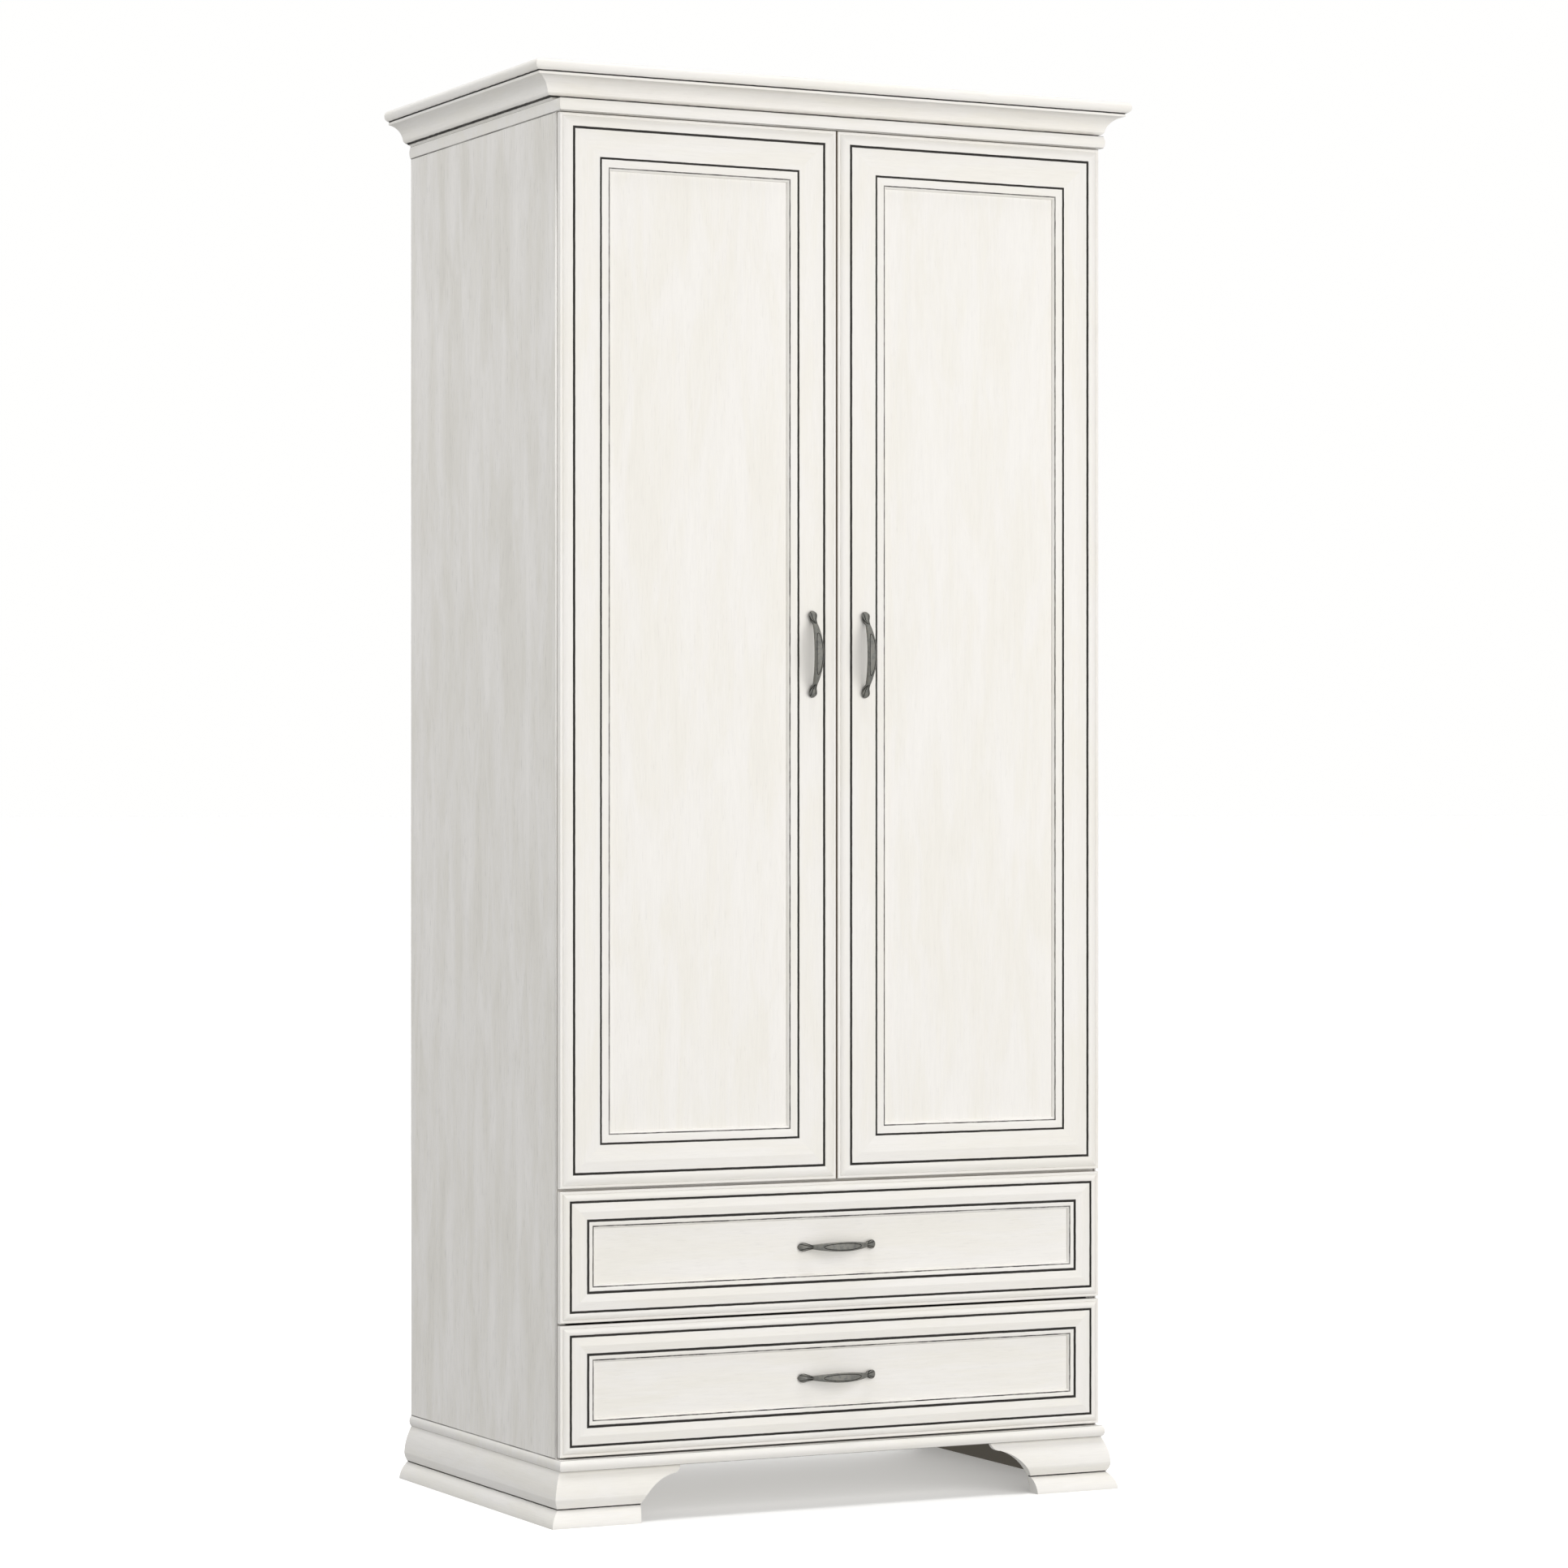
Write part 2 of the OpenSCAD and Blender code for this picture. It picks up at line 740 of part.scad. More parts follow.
module drawer_box_front(z) { drawer_box_end(z, box_y); }
module drawer_box_back(z) { drawer_box_end(z, box_y + slide_length - box_t); }

module drawer_handle(z) {
    translate([0, face_y + drawer_recess, z + drawer_front_h / 2]) handle();
}

// A channel that opens towards +X: web from x0, lips out to x1, half height h, wall t
module slide_channel(x0, x1, h, t) {
    block([x0, 0, -h], [x0 + t, slide_length, h]);
    for (s = [-1, 1]) block([x0, 0, min(s * h, s * (h - t))], [x1, slide_length, max(s * h, s * (h - t))]);
}

// Place a right-hand slide part, drawn from the panel inwards, on both sides of a drawer
module slide_place(z) {
    both_sides() translate([inner_half, slide_y, z + box_lift + slide_z]) mirror([1, 0, 0]) children();
}

module slide_outer_members() {
    color(STEEL) for (z = [lower_z, upper_z]) slide_place(z) {
        slide_channel(0, 9, 22.5, 1.2);
        for (s = [-1, 1]) block([7.8, 0, min(s * 22.5, s * 18.6)], [9, slide_length, max(s * 22.5, s * 18.6)]);
    }
}

module slide_middle(z) {
    color(STEEL) slide_place(z) slide_channel(2.6, 10.4, 17.4, 1.2);
}

module slide_inner(z) {
    color(STEEL) slide_place(z) mirror([1, 0, 0]) translate([-slide_t, 0, 0])
        slide_channel(0, 7.4, 13, 1.2);
}

module drawer_upper_rails() { drawer_rails(upper_z); }
module drawer_upper_stiles() { drawer_stiles(upper_z); }
module drawer_upper_panel() { drawer_panel(upper_z); }
module drawer_upper_box_left() { drawer_box_left(upper_z); }
module drawer_upper_box_right() { drawer_box_right(upper_z); }
module drawer_upper_box_front() { drawer_box_front(upper_z); }
module drawer_upper_box_back() { drawer_box_back(upper_z); }
module drawer_upper_box_bottom() { drawer_box_bottom(upper_z); }
module drawer_upper_slide_inner() { slide_inner(upper_z); }
module drawer_upper_handle() { drawer_handle(upper_z); }
module slide_middle_upper() { slide_middle(upper_z); }
module drawer_lower_rails() { drawer_rails(lower_z); }
module drawer_lower_stiles() { drawer_stiles(lower_z); }
module drawer_lower_panel() { drawer_panel(lower_z); }
module drawer_lower_box_left() { drawer_box_left(lower_z); }
module drawer_lower_box_right() { drawer_box_right(lower_z); }
module drawer_lower_box_front() { drawer_box_front(lower_z); }
module drawer_lower_box_back() { drawer_box_back(lower_z); }
module drawer_lower_box_bottom() { drawer_box_bottom(lower_z); }
module drawer_lower_slide_inner() { slide_inner(lower_z); }
module drawer_lower_handle() { drawer_handle(lower_z); }
module slide_middle_lower() { slide_middle(lower_z); }

side_panel_left();
side_panel_right();
top_board();
bottom_board();
divider_shelf();
hat_shelf();
back_panel_left();
back_panel_right();
back_joining_strip();
hanging_rail();
rail_sockets();
crown_front();
crown_left();
crown_right();
plinth_left();
plinth_right();
bracket_foot_left();
bracket_foot_right();
corner_blocks();
hinge_arms();
slide_outer_members();
cam_locks();
panel_screws();
wall_bracket();
door_left_stile_hinge();
door_left_stile_meeting();
door_left_rail_top();
door_left_rail_bottom();
door_left_panel();
door_left_hinge_cups();
door_left_handle();
door_right_stile_hinge();
door_right_stile_meeting();
door_right_rail_top();
door_right_rail_bottom();
door_right_panel();
door_right_hinge_cups();
door_right_handle();
drawer_upper_rails();
drawer_upper_stiles();
drawer_upper_panel();
drawer_upper_box_left();
drawer_upper_box_right();
drawer_upper_box_front();
drawer_upper_box_back();
drawer_upper_box_bottom();
drawer_upper_slide_inner();
drawer_upper_handle();
slide_middle_upper();
drawer_lower_rails();
drawer_lower_stiles();
drawer_lower_panel();
drawer_lower_box_left();
drawer_lower_box_right();
drawer_lower_box_front();
drawer_lower_box_back();
drawer_lower_box_bottom();
drawer_lower_slide_inner();
drawer_lower_handle();
slide_middle_lower();
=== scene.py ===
"""Looks of the wardrobe: ivory lacquer with patina lines, cast handles, fittings, light and camera."""
import math

import bmesh
import bpy
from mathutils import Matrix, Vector

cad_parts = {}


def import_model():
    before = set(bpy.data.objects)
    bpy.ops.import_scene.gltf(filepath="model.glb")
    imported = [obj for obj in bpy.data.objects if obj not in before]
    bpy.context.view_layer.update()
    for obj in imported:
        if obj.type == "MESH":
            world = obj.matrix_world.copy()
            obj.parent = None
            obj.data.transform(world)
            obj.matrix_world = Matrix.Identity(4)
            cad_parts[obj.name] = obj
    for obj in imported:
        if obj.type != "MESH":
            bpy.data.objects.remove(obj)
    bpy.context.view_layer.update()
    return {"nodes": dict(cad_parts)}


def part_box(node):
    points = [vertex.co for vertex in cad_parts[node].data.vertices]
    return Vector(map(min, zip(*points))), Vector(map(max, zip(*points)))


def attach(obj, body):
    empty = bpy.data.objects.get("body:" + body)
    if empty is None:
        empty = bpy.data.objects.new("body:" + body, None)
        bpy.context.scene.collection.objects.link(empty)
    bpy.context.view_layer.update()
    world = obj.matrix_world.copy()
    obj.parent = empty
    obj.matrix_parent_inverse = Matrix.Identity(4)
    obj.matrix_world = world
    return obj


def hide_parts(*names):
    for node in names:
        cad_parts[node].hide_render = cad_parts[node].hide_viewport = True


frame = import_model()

MM = 0.001
NODES = frame["nodes"]
X, Y, Z = 0, 1, 2

# ---------------------------------------------------------------- places, from the frame

DOORS = ("door_left", "door_right")
DRAWERS = ("drawer_upper", "drawer_lower")


def outer_box(nodes):
    """Lowest and highest corner around several CAD nodes."""
    boxes = [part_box(n) for n in nodes]
    low = Vector([min(b[0][i] for b in boxes) for i in range(3)])
    high = Vector([max(b[1][i] for b in boxes) for i in range(3)])
    return low, high


def front_nodes(front):
    """The CAD nodes of the frame around a door or a drawer front."""
    if front in DOORS:
        return [f"{front}_{part}" for part in ("stile_hinge", "stile_meeting", "rail_top", "rail_bottom")]
    return [f"{front}_{part}" for part in ("stiles", "rails")]


FRONT_BOX = {front: outer_box(front_nodes(front)) for front in DOORS + DRAWERS}
RIDGE_RISE = 1.6 * MM
GROOVE_DEEPEST = 6.2 * MM
FACE_Y = FRONT_BOX["door_left"][0].y + RIDGE_RISE
FRONT_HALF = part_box("door_right_stile_hinge")[1].x
INNER_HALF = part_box("divider_shelf")[1].x
MOULDING_HALF = FRONT_HALF + 0.6 * MM
CROWN_BASE_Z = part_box("crown_front")[0].z

# Grooves of the framed fronts: distance from the outer edge, half width, darkness, wear
DOOR_LINES = ((20.8, 2.0, 1.0, 0.02), (63.0, 1.7, 1.0, 0.02), (76.5, 1.0, 0.9, 0.35))
DRAWER_LINES = ((15.7, 1.9, 1.0, 0.02), (42.9, 2.1, 1.0, 0.02), (51.1, 1.0, 0.95, 0.45))
CROWN_LINES = ((4.1, 1.15), (36.0, 1.0))
PLINTH_LINES = ((25.9, 1.1),)


# ---------------------------------------------------------------- node graphs

class Graph:
    """One material's node tree, with short calls for the nodes that repeat."""

    def __init__(self, name):
        self.material = bpy.data.materials.new(name)
        self.material.use_nodes = True
        self.tree = self.material.node_tree
        self.tree.nodes.clear()
        output = self.add("ShaderNodeOutputMaterial")
        self.shader = self.add("ShaderNodeBsdfPrincipled")
        self.tree.links.new(self.shader.outputs[0], output.inputs["Surface"])
        self.place = self.add("ShaderNodeTexCoord").outputs["Object"]

    def add(self, kind):
        return self.tree.nodes.new(kind)

    def put(self, value, socket):
        """Link a socket, or set a plain value."""
        if isinstance(value, bpy.types.NodeSocket):
            self.tree.links.new(value, socket)
        elif isinstance(value, tuple) and len(value) == 3 and len(socket.default_value) == 4:
            socket.default_value = (*value, 1)
        else:
            socket.default_value = value

    def math(self, operation, a, b=0.0, clamp=False):
        node = self.add("ShaderNodeMath")
        node.operation = operation
        node.use_clamp = clamp
        for value, socket in zip((a, b), node.inputs):
            self.put(value, socket)
        return node.outputs[0]

    def axes(self):
        """X, Y and Z of the point, in metres in the row frame."""
        node = self.add("ShaderNodeSeparateXYZ")
        self.put(self.place, node.inputs[0])
        return node.outputs

    def stretched(self, scale, offset=(0, 0, 0)):
        """The point, scaled by a different factor along each axis."""
        node = self.add("ShaderNodeMapping")
        self.put(self.place, node.inputs["Vector"])
        node.inputs["Scale"].default_value = scale
        node.inputs["Location"].default_value = offset
        return node.outputs[0]

    def noise(self, vector, detail=3.0, roughness=0.55, distortion=0.0):
        """Noise whose size comes from the vector's own scale."""
        node = self.add("ShaderNodeTexNoise")
        self.put(vector, node.inputs["Vector"])
        node.inputs["Scale"].default_value = 1.0
        node.inputs["Detail"].default_value = detail
        node.inputs["Roughness"].default_value = roughness
        node.inputs["Distortion"].default_value = distortion
        return node.outputs[0]

    def ramp(self, value, low, high, out_low=0.0, out_high=1.0, smooth=True):
        """Map low..high to out_low..out_high, held at both ends."""
        node = self.add("ShaderNodeMapRange")
        node.interpolation_type = "SMOOTHSTEP" if smooth else "LINEAR"
        for item, name in ((value, "Value"), (low, "From Min"), (high, "From Max"),
                           (out_low, "To Min"), (out_high, "To Max")):
            self.put(item, node.inputs[name])
        return node.outputs[0]

    def mix(self, factor, a, b, blend="MIX"):
        node = self.add("ShaderNodeMix")
        node.data_type = "RGBA"
        node.blend_type = blend
        color_a, color_b, color_result = 6, 7, 2
        self.put(factor, node.inputs["Factor"])
        self.put(a, node.inputs[color_a])
        self.put(b, node.inputs[color_b])
        return node.outputs[color_result]

    def grey(self, value):
        node = self.add("ShaderNodeCombineColor")
        for socket in node.inputs:
            self.put(value, socket)
        return node.outputs[0]

    def bump(self, height, strength, distance):
        node = self.add("ShaderNodeBump")
        node.inputs["Strength"].default_value = strength
        node.inputs["Distance"].default_value = distance
        self.put(height, node.inputs["Height"])
        return node.outputs[0]

    def finish(self, color, roughness, normal, **values):
        """Link the shader and set its other sockets; returns the material."""
        self.put(color, self.shader.inputs["Base Color"])
        self.put(roughness, self.shader.inputs["Roughness"])
        self.put(normal, self.shader.inputs["Normal"])
        for name, value in values.items():
            self.shader.inputs[name.replace("_", " ")].default_value = value
        return self.material


# ---------------------------------------------------------------- white finishes

LACQUER = (0.845, 0.828, 0.795)
LAMINATE = (0.838, 0.820, 0.788)
THIN_BOARD = (0.80, 0.78, 0.745)
# Dark glaze for the grooves and lines; also the colour of the painted shade lines at the board joints.
PATINA_AND_SHADE = (0.010, 0.008, 0.006)
# Painted shade for the edges of the fronts inside the gaps, brownish and near black.
GAP_SHADE_BROWN = (0.50, 0.44, 0.37)
GAP_SHADE_DARK = (0.12, 0.10, 0.08)
# Painted shade for the inner sides of the plinth under the wardrobe.
UNDER_SHADE = (0.13, 0.115, 0.09)


def along(axis, across_scale, along_scale):
    """Stretch factors for a texture that runs along one axis."""
    return tuple(along_scale if i == axis else across_scale for i in range(3))


def grain(graph, axis, seed):
    """Brushed wood grain along one axis: fine streaks, short pits and broad clouds, each 0 to 1."""
    shift = (seed * 1.37, seed * 0.71, seed * 2.13)
    streaks = graph.noise(graph.stretched(along(axis, 300, 20), shift), detail=5, roughness=0.72)
    pores = graph.noise(graph.stretched(along(axis, 560, 42), shift), detail=2, roughness=0.5)
    clouds = graph.noise(graph.stretched(along(axis, 24, 4.5), shift),
                         detail=6, roughness=0.62, distortion=0.5)
    pits = graph.ramp(pores, 0.60, 0.72)
    return streaks, pits, clouds


def white(name, axis, seed, base, line_mask=None, gloss=0.42, contrast=1.0):
    """White lacquer or laminate over wood grain; line_mask returns layers of (mask, colour) to lay on it."""
    g = Graph(name)
    streaks, pits, clouds = grain(g, axis, seed)
    shade = g.math("ADD", g.ramp(streaks, 0.3, 0.7, 0.972, 1.020, smooth=False),
                   g.ramp(clouds, 0.3, 0.7, -0.016 * contrast, 0.016 * contrast, smooth=False))
    shade = g.math("SUBTRACT", shade, g.math("MULTIPLY", pits, 0.03 * contrast))
    tone = g.mix(g.ramp(clouds, 0.36, 0.62), tuple(b * k for b, k in zip(base, (1.0, 0.995, 0.972))),
                 tuple(b * k for b, k in zip(base, (1.0, 1.0, 1.004))))
    color = g.mix(1.0, tone, g.grey(shade), "MULTIPLY")
    rough = g.ramp(streaks, 0.3, 0.7, gloss - 0.05, gloss + 0.07, smooth=False)
    height = g.math("SUBTRACT", g.math("MULTIPLY", streaks, 0.5), pits)
    if line_mask:
        for mask, tint in line_mask(g):
            color = g.mix(mask, color, tint)
            rough = g.ramp(mask, 0.0, 1.0, rough, 0.62)
    normal = g.bump(height, 0.16, 0.0004)
    return g.finish(color, rough, normal, Specular_IOR_Level=0.42)


def edge_distance(g, box):
    """How far a point is inside the outline of a front, in mm."""
    low, high = box
    x, _, z = g.axes()
    reach = []
    for value, a, b in ((x, low.x, high.x), (z, low.z, high.z)):
        off = g.math("ABSOLUTE", g.math("SUBTRACT", value, (a + b) / 2))
        reach.append(g.math("SUBTRACT", (b - a) / 2, off))
    return g.math("MULTIPLY", g.math("MINIMUM", *reach), 1 / MM)


def groove_mask(g, distance, centre, half, strength, wear, seed):
    """1 on a groove whose centre lies at that distance, ragged and worn along its length."""
    wobble = g.noise(g.stretched((60, 60, 60), (seed, 0, 0)), detail=2)
    centre_line = g.math("ADD", g.math("SUBTRACT", distance, centre), g.ramp(wobble, 0.3, 0.7, -0.12, 0.12))
    edge = g.ramp(g.math("ABSOLUTE", centre_line), half * 0.72, half * 1.12, 1.0, 0.0)
    patches = g.noise(g.stretched((22, 22, 22), (0, seed, 0)), detail=4, roughness=0.7)
    worn = g.ramp(patches, 0.36, 0.60, strength * (1 - wear), strength)
    return g.math("MULTIPLY", edge, worn)


def front_lines(box, lines, brown_above, seed):
    """Patina of a framed front's grooves, and painted shade on its edge faces down in the gaps: brownish above
    a height, else near black.
    """
    def build(g):
        distance = edge_distance(g, box)
        x, y, z = g.axes()
        facing = g.ramp(y, FACE_Y + GROOVE_DEEPEST, FACE_Y + GROOVE_DEEPEST + 0.4 * MM, 1.0, 0.0)
        layers = []
        for i, (centre, half, strength, wear) in enumerate(lines):
            mask = groove_mask(g, distance, centre, half, strength, wear, seed + i)
            layers.append((g.math("MULTIPLY", mask, facing), PATINA_AND_SHADE))
        # Painted shade: the edge faces of the front, behind its face, are coloured dark to stand in for the
        # shade inside the gaps.
        inner = g.ramp(g.math("ABSOLUTE", x), FRONT_HALF - 1.5 * MM, FRONT_HALF - 0.5 * MM, 1.0, 0.0)
        rim = g.math("MULTIPLY", g.ramp(distance, 0.25, 0.6, 1.0, 0.0),
                     g.ramp(y, FACE_Y + 3 * MM, FACE_Y + 5 * MM))
        rim = g.math("MULTIPLY", rim, inner)
        brown = g.ramp(z, brown_above - MM, brown_above + MM)
        layers.append((rim, GAP_SHADE_DARK))
        layers.append((g.math("MULTIPLY", rim, brown), GAP_SHADE_BROWN))
        return layers
    return build


def height_lines(base_z, setback, lines, seed):
    """Patina along the outer side of a moulding, at given heights above base_z."""
    def build(g):
        x, y, z = g.axes()
        out_x = g.math("SUBTRACT", g.math("ABSOLUTE", x), MOULDING_HALF)
        out_y = g.math("SUBTRACT", FACE_Y + setback, y)
        outside = g.ramp(g.math("MAXIMUM", out_x, out_y), 0.0, MM)
        height = g.math("MULTIPLY", g.math("SUBTRACT", z, base_z), 1 / MM)
        layers = []
        for i, (centre, half) in enumerate(lines):
            mask = groove_mask(g, height, centre, half, 0.96, 0.08, seed + i)
            layers.append((g.math("MULTIPLY", mask, outside), PATINA_AND_SHADE))
        return layers
    return build


def with_under_shade(lines):
    """The lines of the plinth, and painted shade: a dark brown-grey on the inner sides that face under the
    wardrobe, standing in for the shade there.
    """
    def build(g):
        x, y, _ = g.axes()
        out = g.math("MAXIMUM", g.math("SUBTRACT", g.math("ABSOLUTE", x), MOULDING_HALF - 4 * MM),
                     g.math("SUBTRACT", FACE_Y + 5 * MM, y))
        return lines(g) + [(g.ramp(out, 0.05 * MM, 0.3 * MM, 1.0, 0.0), UNDER_SHADE)]
    return build


def joint_shade_lines(box, strength, width):
    """Thin painted shade line, width mm wide, along the top and bottom of a board where it meets its
    neighbours; it stands in for the contact shadow at the joint.
    """
    def build(g):
        low, high = box
        x, y, z = g.axes()
        outside = g.ramp(g.math("MAXIMUM", g.math("SUBTRACT", g.math("ABSOLUTE", x), FRONT_HALF + 1.5 * MM),
                                g.math("SUBTRACT", FACE_Y - 3 * MM, y)), 0.0, 0.5 * MM)
        off = g.math("ABSOLUTE", g.math("SUBTRACT", z, (low.z + high.z) / 2))
        half = (high.z - low.z) / 2
        patches = g.noise(g.stretched((15, 15, 15)), detail=3, roughness=0.7)
        line = g.ramp(off, half - width * MM, half - 0.6 * width * MM)
        line = g.math("MULTIPLY", line, outside)
        return [(g.math("MULTIPLY", line, g.ramp(patches, 0.3, 0.6, strength * 0.6, strength)), PATINA_AND_SHADE)]
    return build


# ---------------------------------------------------------------- metals and the rest

def pewter(name):
    """Antique pewter; dark glaze stays in the engraved oval and in the flutes, and the sides and underside of
    the shells are painted darker as shade.

    The mesh carries each point's place on the handle: along and across it in mm, and how far it
    faces out (1 on the front, -1 on the back).
    """
    g = Graph(name)
    here = {}
    for key in ("along", "across", "outward"):
        node = g.add("ShaderNodeAttribute")
        node.attribute_name = key
        here[key] = node.outputs["Fac"]
    a = g.math("ABSOLUTE", here["along"])
    u = g.math("ABSOLUTE", here["across"])
    front = g.ramp(here["outward"], 0.2, 0.45)
    ring = g.math("SQRT", g.math("ADD", g.math("POWER", g.math("DIVIDE", a, OVAL[0]), 2.0),
                                 g.math("POWER", g.math("DIVIDE", u, OVAL[1]), 2.0)))
    slope = g.math("SQRT", g.math("ADD", g.math("POWER", g.math("DIVIDE", a, OVAL[0] ** 2), 2.0),
                                  g.math("POWER", g.math("DIVIDE", u, OVAL[1] ** 2), 2.0)))
    off_ring = g.math("ABSOLUTE", g.math("SUBTRACT", ring, 1.0))
    off_oval = g.math("DIVIDE", g.math("MULTIPLY", off_ring, ring), slope)
    dark = g.ramp(off_oval, 0.32, 0.72, 1.0, 0.0)
    radius = g.math("SUBTRACT", a, FLUTE_ORIGIN)
    angle = g.math("ARCTAN2", u, radius)
    shell = g.ramp(a, 43.0, 46.5)
    for centre in FLUTES:
        off = g.math("MULTIPLY", g.math("ABSOLUTE", g.math("SUBTRACT", angle, math.radians(centre))), radius)
        dark = g.math("MAXIMUM", dark, g.math("MULTIPLY", g.ramp(off, 0.3, 0.75, 1.0, 0.0), shell))
    dark = g.math("MULTIPLY", dark, front)
    # Painted shade: the shells darken where they turn away from the front, towards the back.
    rim = g.math("MULTIPLY", g.ramp(here["outward"], -0.3, 0.35, 0.75, 0.0), shell)
    cloud = g.noise(g.stretched((190, 190, 190)), detail=5, roughness=0.65)
    fine = g.noise(g.stretched((900, 900, 900)), detail=3)
    glaze_and_shade = g.math("ADD", g.math("MAXIMUM", dark, rim), g.ramp(cloud, 0.42, 0.66, 0.0, 0.42), clamp=True)
    bare = g.mix(g.ramp(cloud, 0.35, 0.65), (0.20, 0.195, 0.172), (0.235, 0.24, 0.225))
    color = g.mix(glaze_and_shade, bare, (0.022, 0.021, 0.018))
    rough = g.math("ADD", g.ramp(glaze_and_shade, 0, 1, 0.52, 0.7), g.ramp(fine, 0.3, 0.7, -0.05, 0.06))
    return g.finish(color, rough, g.bump(fine, 0.3, 0.0004), Metallic=0.35)


def plated(name, color, roughness, brush_axis=None):
    """Plated steel with a faint brushed or drawn grain and duller patches."""
    g = Graph(name)
    scale = (240, 240, 240) if brush_axis is None else along(brush_axis, 900, 18)
    lines = g.noise(g.stretched(scale), detail=3)
    dull = g.noise(g.stretched((30, 30, 30)), detail=3)
    tone = g.mix(g.ramp(lines, 0.3, 0.7), tuple(c * 0.88 for c in color), color)
    rough = g.math("ADD", g.ramp(dull, 0.35, 0.7, roughness, roughness + 0.14),
                   g.ramp(lines, 0.3, 0.7, -0.04, 0.05))
    return g.finish(tone, rough, g.bump(lines, 0.08, 0.0003), Metallic=1.0)


def plastic(name, color, roughness):
    """Moulded or extruded plastic with a fine even texture."""
    g = Graph(name)
    fine = g.noise(g.stretched((1400, 1400, 1400)), detail=2)
    cloud = g.noise(g.stretched((18, 18, 18)), detail=2)
    tone = g.mix(g.ramp(cloud, 0.35, 0.65), tuple(c * 0.965 for c in color), color)
    return g.finish(tone, g.ramp(fine, 0.3, 0.7, roughness, roughness + 0.08), g.bump(fine, 0.15, 0.0002))


def paint(node, material):
    """Give a CAD node one material."""
    mesh = NODES[node].data
    mesh.materials.clear()
    mesh.materials.append(material)


def smooth(node, degrees=28):
    """Shade the round stretches of a CAD node smooth and keep its edges crisp."""
    mesh = NODES[node].data
    mesh.shade_smooth()
    mesh.set_sharp_from_angle(angle=math.radians(degrees))


def paint_fronts():
    """Doors and drawer fronts: grain along each member, the patina of their grooves, and painted shade on their
    edges in the gaps.
    """
    for seed, front in enumerate(DOORS + DRAWERS):
        is_door = front in DOORS
        lines = DOOR_LINES if is_door else DRAWER_LINES
        low, high = FRONT_BOX[front]
        # Height above which the painted gap shade is brownish instead of near black.
        brown_above = {"drawer_upper": (low.z + high.z) / 2, "drawer_lower": high.z + 1}.get(front, low.z - 1)
        build = front_lines((low, high), lines, brown_above, 3 * seed + 1)
        upright = white(f"{front}_upright", Z, 5 + seed, LACQUER, build)
        level = white(f"{front}_level", X, 9 + seed, LACQUER, build)
        field = white(f"{front}_field", Z if is_door else X, 14 + seed, LACQUER, contrast=1.5)
        for node in front_nodes(front):
            paint(node, upright if "stile" in node else level)
            smooth(node)
        paint(f"{front}_panel", field)


def paint_mouldings():
    """Crown and plinth, with their dark lines; grain along each member."""
    crown = height_lines(CROWN_BASE_Z, 26 * MM, CROWN_LINES, 31)
    # The plinth also gets painted shade on its inner sides.
    plinth = with_under_shade(height_lines(0.0, 1 * MM, PLINTH_LINES, 37))
    for base, lines in (("crown", crown), ("plinth", plinth)):
        length = white(f"{base}_depth", Y, 20, LACQUER, lines)
        width = white(f"{base}_width", X, 22, LACQUER, lines)
        for node in NODES:
            if node.startswith(base) or (base == "plinth" and node.startswith("bracket_foot")):
                paint(node, length if node.endswith(("left", "right")) and "foot" not in node else width)
                smooth(node)


def paint_boards():
    """Boards of the carcass and the drawer boxes, and the thin back and bottom panels."""
    shelf = white("shelf_board", X, 29, LAMINATE)
    box_side = white("box_board", Y, 33, LAMINATE, gloss=0.5)
    thin = white("thin_board", Z, 35, THIN_BOARD, gloss=0.55)
    # Painted shade lines at the joints of the nosed boards.
    for node in ("top_board", "bottom_board"):
        paint(node, white(f"{node}_edge", X, 25, LACQUER, joint_shade_lines(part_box(node), strength=0.6, width=0.9)))
        smooth(node)
    for node in NODES:
        if node.startswith("side_panel"):
            # Painted shade lines where the side panel meets the boards.
            lines = joint_shade_lines(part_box(node), strength=0.8, width=1.3)
            paint(node, white(node, Z, 27, LAMINATE, lines, contrast=4.5))
        elif node.endswith("shelf") or node.endswith(("box_front", "box_back")):
            paint(node, shelf)
        elif node.endswith(("box_left", "box_right")) or node == "corner_blocks":
            paint(node, box_side)
        elif node.startswith("back_panel") or node.endswith("box_bottom"):
            paint(node, thin)


def paint_hardware():
    """Hinges, slides, rail, cams, screws, wall angle and the strip in the back."""
    nickel = plated("nickel", (0.66, 0.65, 0.62), 0.24)
    zinc = plated("zinc", (0.60, 0.61, 0.63), 0.34, Y)
    chrome = plated("chrome_tube", (0.78, 0.78, 0.79), 0.10, X)
    strip = plastic("strip_plastic", (0.80, 0.80, 0.78), 0.42)
    for node in NODES:
        if node in ("hanging_rail", "rail_sockets"):
            paint(node, chrome)
        elif node == "back_joining_strip":
            paint(node, strip)
        elif "slide_" in node or node == "wall_bracket":
            paint(node, zinc)
        elif node.endswith("hinge_cups") or node in ("hinge_arms", "cam_locks", "panel_screws"):
            paint(node, nickel)
        else:
            continue
        smooth(node)


# ---------------------------------------------------------------- handles

def finish_piece(name, bm):
    """Turn a bmesh into a smooth-shaded object in the scene."""
    mesh = bpy.data.meshes.new(name)
    bm.to_mesh(mesh)
    bm.free()
    mesh.shade_smooth()
    piece = bpy.data.objects.new(name, mesh)
    bpy.context.scene.collection.objects.link(piece)
    return piece


